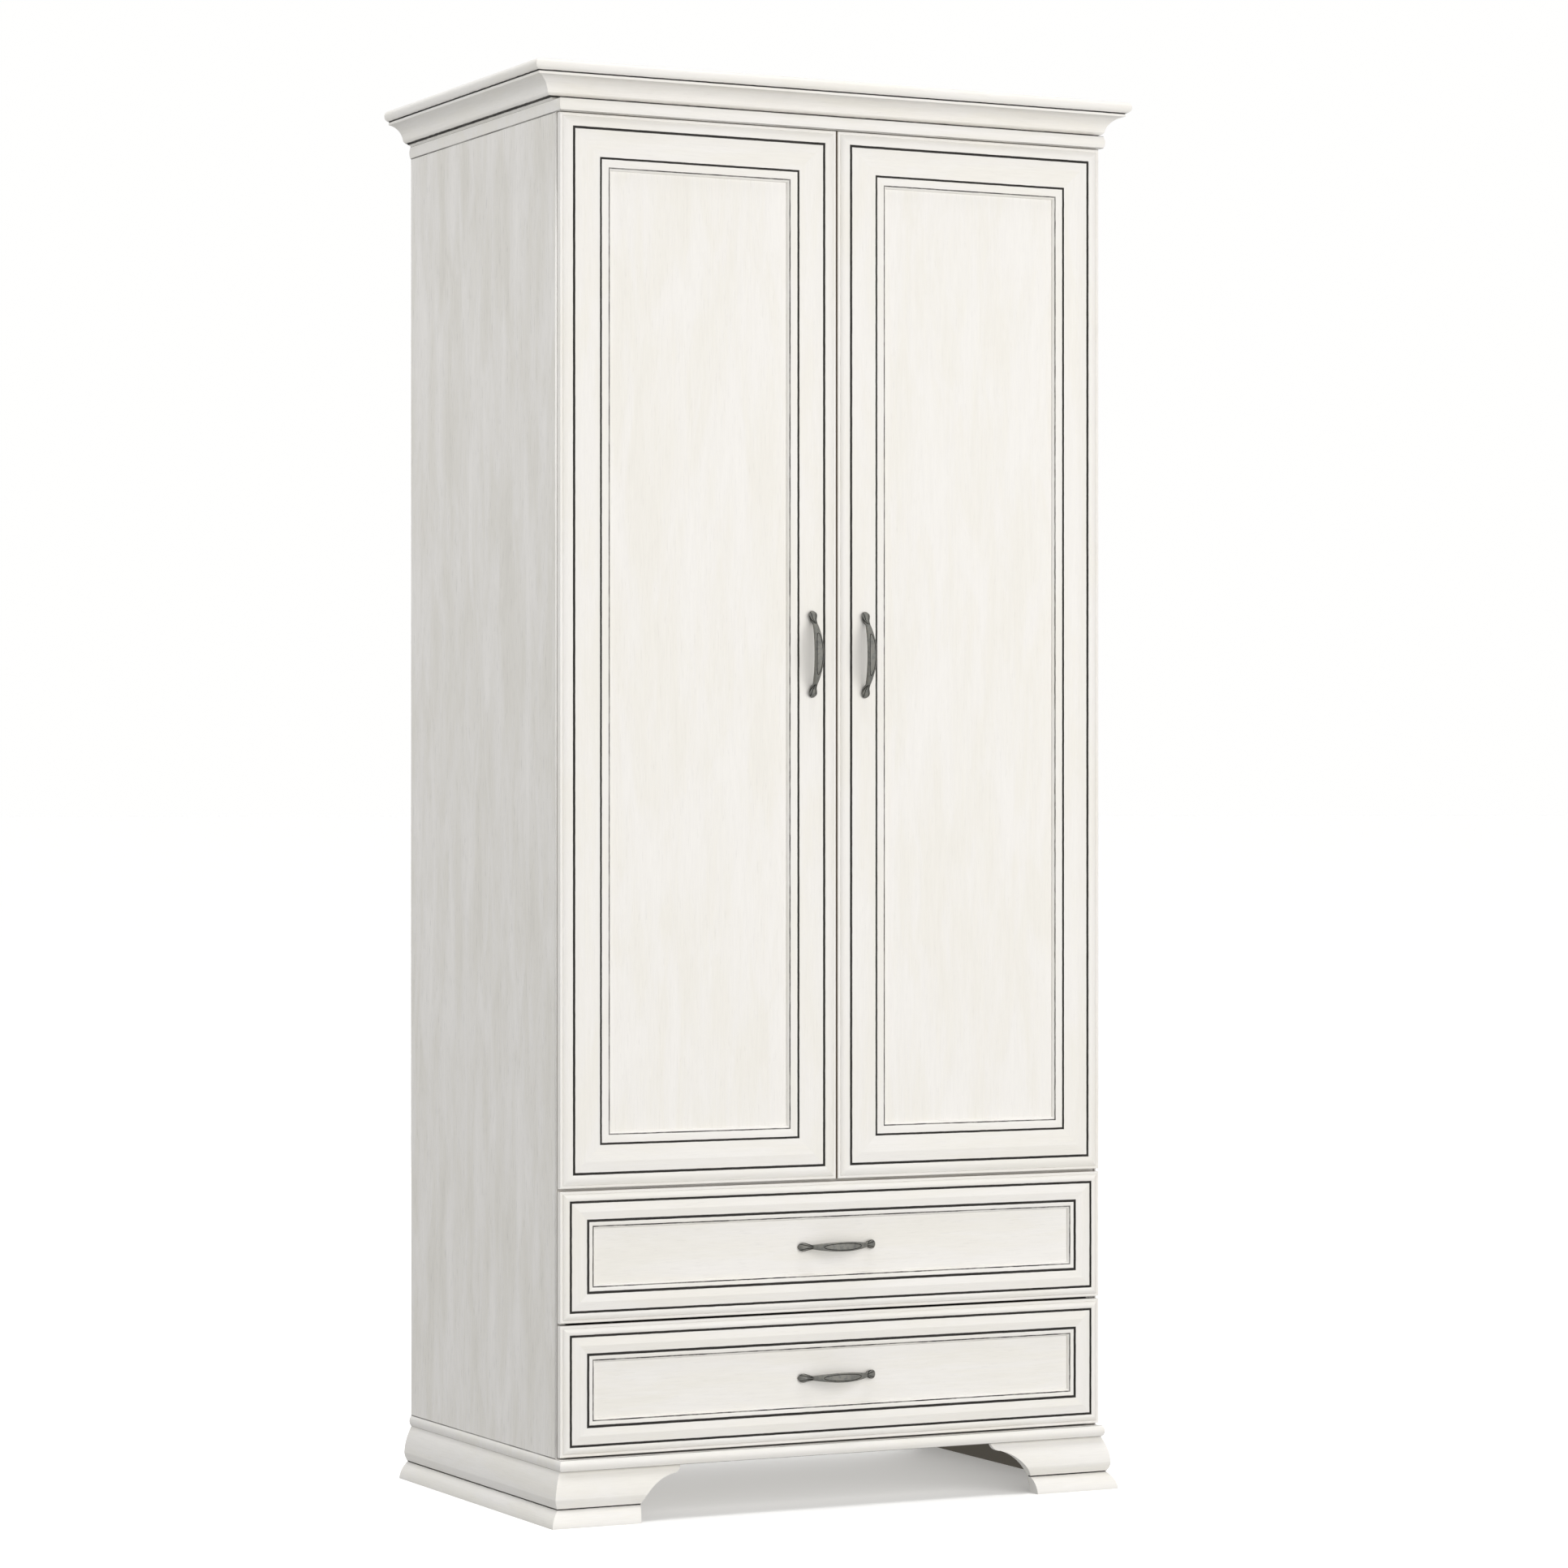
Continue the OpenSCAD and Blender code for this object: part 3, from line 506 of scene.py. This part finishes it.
# Shape of a handle in mm, from its middle; the flutes are degrees about FLUTE_ORIGIN
HANDLE_HALF = 64.0
NECK_AT = 44.0
BOSS_AT = 57.0
LEAF_HALF = 7.0
NECK_HALF = 3.4
BOSS_HALF = 6.7
BOSS_RISE = 9.0
GRIP_T = 7.1
GRIP_RADIUS = 79.0
OVAL = (30.5, 4.9)
FLUTE_ORIGIN = 42.0
FLUTES = (12.5, 27.0)


def half_width(a):
    """Half the width of a handle at a distance a from its middle, in mm: leaf, neck, shell."""
    if a < NECK_AT:
        return NECK_HALF + (LEAF_HALF - NECK_HALF) * (1 - (a / NECK_AT) ** 2) ** 1.1
    if a < BOSS_AT:
        t = (a - NECK_AT) / (BOSS_AT - NECK_AT)
        return NECK_HALF + (BOSS_HALF - NECK_HALF) * (3 * t * t - 2 * t ** 3) ** 0.9
    return BOSS_HALF * math.sqrt(max(0.0, 1 - ((a - BOSS_AT) / (HANDLE_HALF - BOSS_AT)) ** 2))


def crest(a, rise):
    """Height of the front of a handle above its seat."""
    bow = rise - GRIP_RADIUS + math.sqrt(max(0.0, GRIP_RADIUS ** 2 - a * a))
    shell = BOSS_RISE * math.sqrt(max(0.0, 1 - max(0.0, (a - 50) / 14.2) ** 2))
    return max(bow, shell)


def underside(a, rise):
    """Height of the back of a handle above its seat; 0 where it stands on its feet."""
    free = crest(a, rise) - GRIP_T
    landing = 1 - min(1.0, max(0.0, (a - 42) / 7)) ** 2
    return max(0.0, free * landing)


def oval_distance(a, u):
    """Distance in mm of a point on the front from the engraved oval."""
    ring = math.hypot(a / OVAL[0], u / OVAL[1])
    slope = math.hypot(a / OVAL[0] ** 2, u / OVAL[1] ** 2)
    return abs(ring - 1) * ring / slope if slope > 0 else OVAL[1]


def relief(a, u):
    """How deep the front of a handle is cut at (a, u), in mm: the oval, and the flutes of a shell."""
    depth = 0.45 * max(0.0, 1 - (oval_distance(a, u) / 0.8) ** 2)
    if a > FLUTE_ORIGIN + 1:
        fade = min(1.0, (a - FLUTE_ORIGIN - 1) / 4)
        for centre in FLUTES:
            off = abs(math.atan2(abs(u), a - FLUTE_ORIGIN) - math.radians(centre)) * (a - FLUTE_ORIGIN)
            depth += 0.6 * max(0.0, 1 - (off / 0.95) ** 2) * fade
    return depth


def rounded(value, power):
    """Push a cosine or sine towards a box (small power) or leave it round (power 1)."""
    return math.copysign(abs(value) ** power, value)


def handle_mesh(name, place, rise):
    """A cast bow handle as one closed skin; place maps (along, across, out) in mm to the row frame."""
    stations, around = 280, 88
    bm = bmesh.new()
    layers = [bm.verts.layers.float.new(key) for key in ("along", "across", "outward")]
    rings = []
    for i in range(1, stations):
        s = -HANDLE_HALF * math.cos(math.pi * i / stations)
        a = abs(s)
        front, back, half = crest(a, rise), underside(a, rise), half_width(a)
        power = 0.5 + 0.32 * min(1.0, max(0.0, (a - 40) / 10))
        ring = []
        for k in range(around):
            phi = 2 * math.pi * k / around
            u = half * rounded(math.cos(phi), power)
            d = rounded(math.sin(phi), power)
            out = (front + back) / 2 + (front - back) / 2 * d
            foot = max(0.0, 1 - out / 5) if a > 46 else 0.0
            u *= 1 - 0.3 * foot ** 1.5
            if d > 0.2:
                out -= relief(a, u) * min(1.0, (d - 0.2) / 0.3)
            vert = bm.verts.new(place(s, u, max(0.0, out)))
            for layer, value in zip(layers, (s, u, d)):
                vert[layer] = value
            ring.append(vert)
        rings.append(ring)
    for a, b in zip(rings, rings[1:]):
        for k in range(around):
            bm.faces.new((a[k], a[(k + 1) % around], b[(k + 1) % around], b[k]))
    bm.faces.new(reversed(rings[0]))
    bm.faces.new(rings[-1])
    bmesh.ops.recalc_face_normals(bm, faces=bm.faces)
    return finish_piece(name, bm)


def ride(piece, body, material):
    """Give a new piece its material and its body."""
    piece.data.materials.append(material)
    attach(piece, body)


def make_handles():
    """The four bow handles, in place of the plain CAD ones."""
    finish = pewter("antique_pewter")
    for front in DOORS + DRAWERS:
        node = f"{front}_handle"
        low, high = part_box(node)
        middle = (low + high) / 2
        seat = high.y
        rise = (high.y - low.y) / MM
        if front in DOORS:
            def place(s, u, out, m=middle, seat=seat):
                return (m.x + u * MM, seat - out * MM, m.z + s * MM)
        else:
            def place(s, u, out, m=middle, seat=seat):
                return (m.x + s * MM, seat - out * MM, m.z + u * MM)
        piece = handle_mesh(f"{front}_bow_handle", place, rise)
        ride(piece, front, finish)
        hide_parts(node)


# ---------------------------------------------------------------- fittings

FRONT_T = 14 * MM
HINGE_END = 100 * MM
CUP_INSET = 20.5 * MM
CUP_WING_T = 1.5 * MM
CUP_SCREW = 22.3 * MM
ARM_INSET = 23 * MM
ARM_SCREWS = (34.5 * MM, 68.5 * MM)
PLATE_INSET = 17.2 * MM
PLATE_FROM_FACE = 51.5 * MM
PLATE_SCREW = 19 * MM
HANDLE_SCREW = 96 * MM / 2
SOCKET_SCREW = 22 * MM
BOX_SCREW_X = 300 * MM
BOX_SCREW_Z = 45 * MM


def cap(bm, centre, normal, radius, height, recess=True):
    """Domed screw or pin head standing on a surface; recess sinks a cross into it."""
    centre, normal = Vector(centre), Vector(normal).normalized()
    side = normal.orthogonal().normalized()
    up = normal.cross(side)
    rings, around = 9, 32
    grid = []
    for i in range(rings + 1):
        t = i / rings
        ring = []
        for k in range(around):
            phi = 2 * math.pi * (k + 0.5) / around
            u, v = radius * t * math.cos(phi), radius * t * math.sin(phi)
            lift = height * math.sqrt(max(0.0, 1 - t ** 2.6))
            arm = min(abs(u), abs(v))
            if recess and t < 0.62 and arm < radius * 0.13:
                lift -= height * 0.75 * (1 - t / 0.62) ** 0.3
            ring.append(bm.verts.new(centre + side * u + up * v + normal * max(0.0, lift)))
            if i == 0:
                break
        grid.append(ring)
    for k in range(around):
        bm.faces.new((grid[0][0], grid[1][k], grid[1][(k + 1) % around]))
    for a, b in zip(grid[1:], grid[2:]):
        for k in range(around):
            bm.faces.new((a[k], b[k], b[(k + 1) % around], a[(k + 1) % around]))
    bm.faces.new(reversed(grid[-1]))


def ball(bm, centre, radius):
    """One bearing ball."""
    made = bmesh.ops.create_icosphere(bm, subdivisions=2, radius=radius)
    bmesh.ops.translate(bm, verts=made["verts"], vec=Vector(centre))


def bar(bm, low, high, bevel):
    """Box with softened edges between two corners."""
    made = bmesh.ops.create_cube(bm, size=1)
    low, high = Vector(low), Vector(high)
    for vert in made["verts"]:
        vert.co = Vector([(low[i] + high[i]) / 2 + vert.co[i] * (high[i] - low[i]) for i in range(3)])
    edges = dict.fromkeys(edge for vert in made["verts"] for edge in vert.link_edges)
    bmesh.ops.bevel(bm, geom=list(edges), offset=bevel, segments=2, affect="EDGES")


def hinge_heights(low, high):
    """Heights of the four cup hinges of a door."""
    span = high.z - low.z - 2 * HINGE_END
    return [low.z + HINGE_END + i * span / 3 for i in range(4)]


def make_screws():
    """Heads of the screws in the hinges, handles, rail sockets, wall bracket and carcass."""
    nickel = plated("screw_nickel", (0.62, 0.61, 0.58), 0.28)
    on_carcass = bmesh.new()
    for front, side in (("door_left", -1), ("door_right", 1)):
        low, high = FRONT_BOX[front]
        on_door = bmesh.new()
        for z in hinge_heights(low, high):
            for step in (-CUP_SCREW, CUP_SCREW):
                cap(on_door, (side * (FRONT_HALF - CUP_INSET), FACE_Y + FRONT_T + CUP_WING_T, z + step),
                    (0, 1, 0), 3.2 * MM, 0.7 * MM)
            for y in ARM_SCREWS:
                cap(on_carcass, (side * (FRONT_HALF - ARM_INSET), FACE_Y + y, z),
                    (-side, 0, 0), 3.4 * MM, 0.6 * MM)
            for step in (-PLATE_SCREW, PLATE_SCREW):
                cap(on_carcass, (side * (FRONT_HALF - PLATE_INSET), FACE_Y + PLATE_FROM_FACE, z + step),
                    (-side, 0, 0), 4.2 * MM, 0.6 * MM)
        handle_low, handle_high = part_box(f"{front}_handle")
        middle = (handle_low + handle_high) / 2
        for step in (-HANDLE_SCREW, HANDLE_SCREW):
            cap(on_door, (middle.x, FACE_Y + FRONT_T, middle.z + step), (0, 1, 0), 4.2 * MM, 2.2 * MM)
        ride(finish_piece(f"{front}_screws", on_door), front, nickel)
    socket_low, socket_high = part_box("rail_sockets")
    middle = (socket_low + socket_high) / 2
    for x, side in ((INNER_HALF - 3 * MM, -1), (3 * MM - INNER_HALF, 1)):
        for step in (-SOCKET_SCREW, SOCKET_SCREW):
            cap(on_carcass, (x, middle.y, middle.z + step), (side, 0, 0), 3.2 * MM, 1.0 * MM)
    bracket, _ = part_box("wall_bracket")
    for x in (-6 * MM, 6 * MM):
        cap(on_carcass, (x, bracket.y + 12 * MM, bracket.z + 2 * MM), (0, 0, 1), 3.6 * MM, 1.2 * MM)
    ride(finish_piece("carcass_screws", on_carcass), "carcass", nickel)
    for front in DRAWERS:
        bm = bmesh.new()
        low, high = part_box(f"{front}_box_front")
        handle_low, handle_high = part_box(f"{front}_handle")
        for x in (-HANDLE_SCREW, HANDLE_SCREW):
            cap(bm, (x, high.y, (handle_low.z + handle_high.z) / 2), (0, 1, 0), 4.2 * MM, 2.2 * MM)
        for x in (-BOX_SCREW_X, BOX_SCREW_X):
            for step in (-BOX_SCREW_Z, BOX_SCREW_Z):
                cap(bm, (x, high.y, (low.z + high.z) / 2 + step), (0, 1, 0), 3.6 * MM, 1.8 * MM)
        ride(finish_piece(f"{front}_screws", bm), front, nickel)


def make_slide_balls():
    """Bearing balls and their cages, on the middle member of each drawer slide."""
    steel = plated("ball_steel", (0.72, 0.72, 0.73), 0.12)
    # Per race: distance from the side panel, height off the middle, ball radius (mm), start of the cage
    races = ((5.3, 19.35, 1.7, 0.47), (7.85, 14.6, 1.4, 0.03))
    count, pitch = 16, 14.2 * MM
    for level in ("upper", "lower"):
        body = f"slide_middle_{level}"
        low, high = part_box(body)
        middle = (low.z + high.z) / 2
        length = high.y - low.y
        bm = bmesh.new()
        for side in (-1, 1):
            for up in (-1, 1):
                for inset, reach, radius, start in races:
                    x = side * (INNER_HALF - inset * MM)
                    z = middle + up * reach * MM
                    y = low.y + start * length
                    for i in range(count):
                        ball(bm, (x, y + 8 * MM + i * pitch, z), radius * MM)
                    bar(bm, (x - 2.2 * MM, y, z - 0.35 * MM),
                        (x + 2.2 * MM, y + 0.5 * length, z + 0.35 * MM), 0.15 * MM)
        ride(finish_piece(f"{body}_balls", bm), body, steel)


def make_edge_strips():
    """White strips along the front edges of the side panels."""
    material = plastic("edge_strip", (0.86, 0.845, 0.815), 0.4)
    low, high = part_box("side_panel_right")
    bm = bmesh.new()
    for side in (-1, 1):
        left, right = sorted((side * (high.x - 0.05 * MM), side * (high.x - 3.2 * MM)))
        bar(bm, (left, low.y - 2.5 * MM, low.z), (right, low.y, high.z), 0.5 * MM)
    ride(finish_piece("panel_edge_strips", bm), "carcass", material)


def make_door_bumpers():
    """Clear bumpers on the front edge of the divider shelf, where the doors close."""
    material = plastic("bumper_clear", (0.74, 0.75, 0.74), 0.25)
    shelf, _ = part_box("divider_shelf")
    door, _ = FRONT_BOX["door_left"]
    bm = bmesh.new()
    for x in (-50 * MM, 50 * MM, -360 * MM, 360 * MM):
        cap(bm, (x, shelf.y, door.z + 3.2 * MM), (0, -1, 0), 2.6 * MM, 2.3 * MM, recess=False)
    ride(finish_piece("door_bumpers", bm), "carcass", material)


def make_back_pins():
    """Pins that hold the back panels, along their outer, lower and upper edges."""
    material = plated("pin_zinc", (0.58, 0.59, 0.61), 0.4)
    count, end = 16, 25 * MM
    bm = bmesh.new()
    for side, node in ((-1, "back_panel_left"), (1, "back_panel_right")):
        low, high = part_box(node)
        edge = side * (INNER_HALF + 3.5 * MM)
        for i in range(count):
            z = low.z + end + i * (high.z - low.z - 2 * end) / (count - 1)
            cap(bm, (edge, high.y, z), (0, 1, 0), 2.2 * MM, 0.8 * MM, recess=False)
        for z in (low.z + 3.5 * MM, high.z - 3.5 * MM):
            for x in (80 * MM, 200 * MM, 320 * MM):
                cap(bm, (side * x, high.y, z), (0, 1, 0), 2.2 * MM, 0.8 * MM, recess=False)
    ride(finish_piece("back_panel_pins", bm), "carcass", material)


# ---------------------------------------------------------------- stage, light, camera

def floor():
    """Pale floor, as white as the surroundings; it throws no light back and isn't mirrored in the object."""
    g = Graph("pale_floor")
    cloud = g.noise(g.stretched((0.8, 0.8, 0.8)), detail=3)
    fine = g.noise(g.stretched((70, 70, 70)), detail=4)
    tone = g.mix(g.ramp(cloud, 0.3, 0.7), (0.945, 0.943, 0.939), (0.957, 0.955, 0.951))
    material = g.finish(tone, g.ramp(fine, 0.3, 0.7, 0.74, 0.82), g.bump(fine, 0.03, 0.001),
                        Emission_Color=(1, 1, 1, 1), Emission_Strength=0.15)
    bpy.ops.mesh.primitive_plane_add(size=1600, location=(0, 0, 0))
    plane = bpy.context.object
    plane.name = "studio_floor"
    plane.data.materials.append(material)
    plane.visible_diffuse = False
    plane.visible_glossy = False


def sun(name, towards, strength, spread):
    """Very soft directional light that comes from a direction; strength 1 lights white to white."""
    lamp = bpy.data.lights.new(name, "SUN")
    lamp.energy = strength * math.pi
    lamp.angle = math.radians(spread)
    obj = bpy.data.objects.new(name, lamp)
    obj.rotation_euler = Vector(towards).to_track_quat("Z", "Y").to_euler()
    bpy.context.scene.collection.objects.link(obj)


def softbox(name, location, target, size, power, color=(1, 1, 1)):
    """Square area light that the camera doesn't see."""
    lamp = bpy.data.lights.new(name, "AREA")
    lamp.size = size
    lamp.energy = power
    lamp.color = color
    obj = bpy.data.objects.new(name, lamp)
    obj.location = location
    obj.rotation_euler = (obj.location - Vector(target)).to_track_quat("Z", "Y").to_euler()
    obj.visible_camera = False
    bpy.context.scene.collection.objects.link(obj)


def world(bounce, horizon, zenith):
    """White surroundings for the camera; as light, a weak bounce from below and a dome that
    brightens from the horizon to the zenith."""
    surround = bpy.data.worlds.new("studio")
    surround.use_nodes = True
    tree = surround.node_tree
    tree.nodes.clear()
    output = tree.nodes.new("ShaderNodeOutputWorld")
    background = tree.nodes.new("ShaderNodeBackground")
    path = tree.nodes.new("ShaderNodeLightPath")
    axes = tree.nodes.new("ShaderNodeSeparateXYZ")
    dome = tree.nodes.new("ShaderNodeMapRange")
    lower = tree.nodes.new("ShaderNodeMapRange")
    level = tree.nodes.new("ShaderNodeMapRange")
    tree.links.new(tree.nodes.new("ShaderNodeTexCoord").outputs["Generated"], axes.inputs[0])
    tree.links.new(axes.outputs[Z], dome.inputs["Value"])
    dome.inputs["To Min"].default_value = horizon
    dome.inputs["To Max"].default_value = zenith
    tree.links.new(axes.outputs[Z], lower.inputs["Value"])
    lower.inputs["From Min"].default_value = -0.08
    lower.inputs["From Max"].default_value = 0.0
    lower.inputs["To Min"].default_value = bounce
    tree.links.new(dome.outputs[0], lower.inputs["To Max"])
    tree.links.new(path.outputs["Is Camera Ray"], level.inputs["Value"])
    tree.links.new(lower.outputs[0], level.inputs["To Min"])
    level.inputs["To Max"].default_value = 1.0
    tree.links.new(level.outputs[0], background.inputs["Strength"])
    tree.links.new(background.outputs[0], output.inputs["Surface"])
    background.inputs["Color"].default_value = (1.0, 0.998, 0.992, 1)
    bpy.context.scene.world = surround


def camera():
    """At the photograph's angle: level, left of the middle, turned 26.4 degrees to the front."""
    lens = bpy.data.cameras.new("camera")
    lens.lens = 109.16
    lens.sensor_width = 36
    lens.shift_y = 0.0169
    lens.clip_end = 1500
    obj = bpy.data.objects.new("camera", lens)
    obj.location = (-3.1826, FACE_Y - 6.2429, 1.0264)
    obj.rotation_euler = (math.radians(90), 0, math.radians(-26.366))
    bpy.context.scene.collection.objects.link(obj)
    bpy.context.scene.camera = obj


paint_fronts()
paint_mouldings()
paint_boards()
paint_hardware()
make_handles()
make_screws()
make_slide_balls()
make_edge_strips()
make_door_bumpers()
make_back_pins()
floor()
world(0.54, 0.14, 0.36)
sun("overhead", (0, 0, 1), 0.67, 36)
softbox("key", (1.0, -5.6, 1.5), (0, -0.27, 1.2), 7.0, 338, (1.0, 0.984, 0.964))
softbox("fill", (-5.2, 0.3, 3.8), (-0.45, 0, 1.4), 3.0, 131)
softbox("back", (4.0, 4.4, 2.8), (0.2, 0.2, 1.1), 3.0, 150)
camera()
bpy.context.scene.view_settings.view_transform = "Standard"
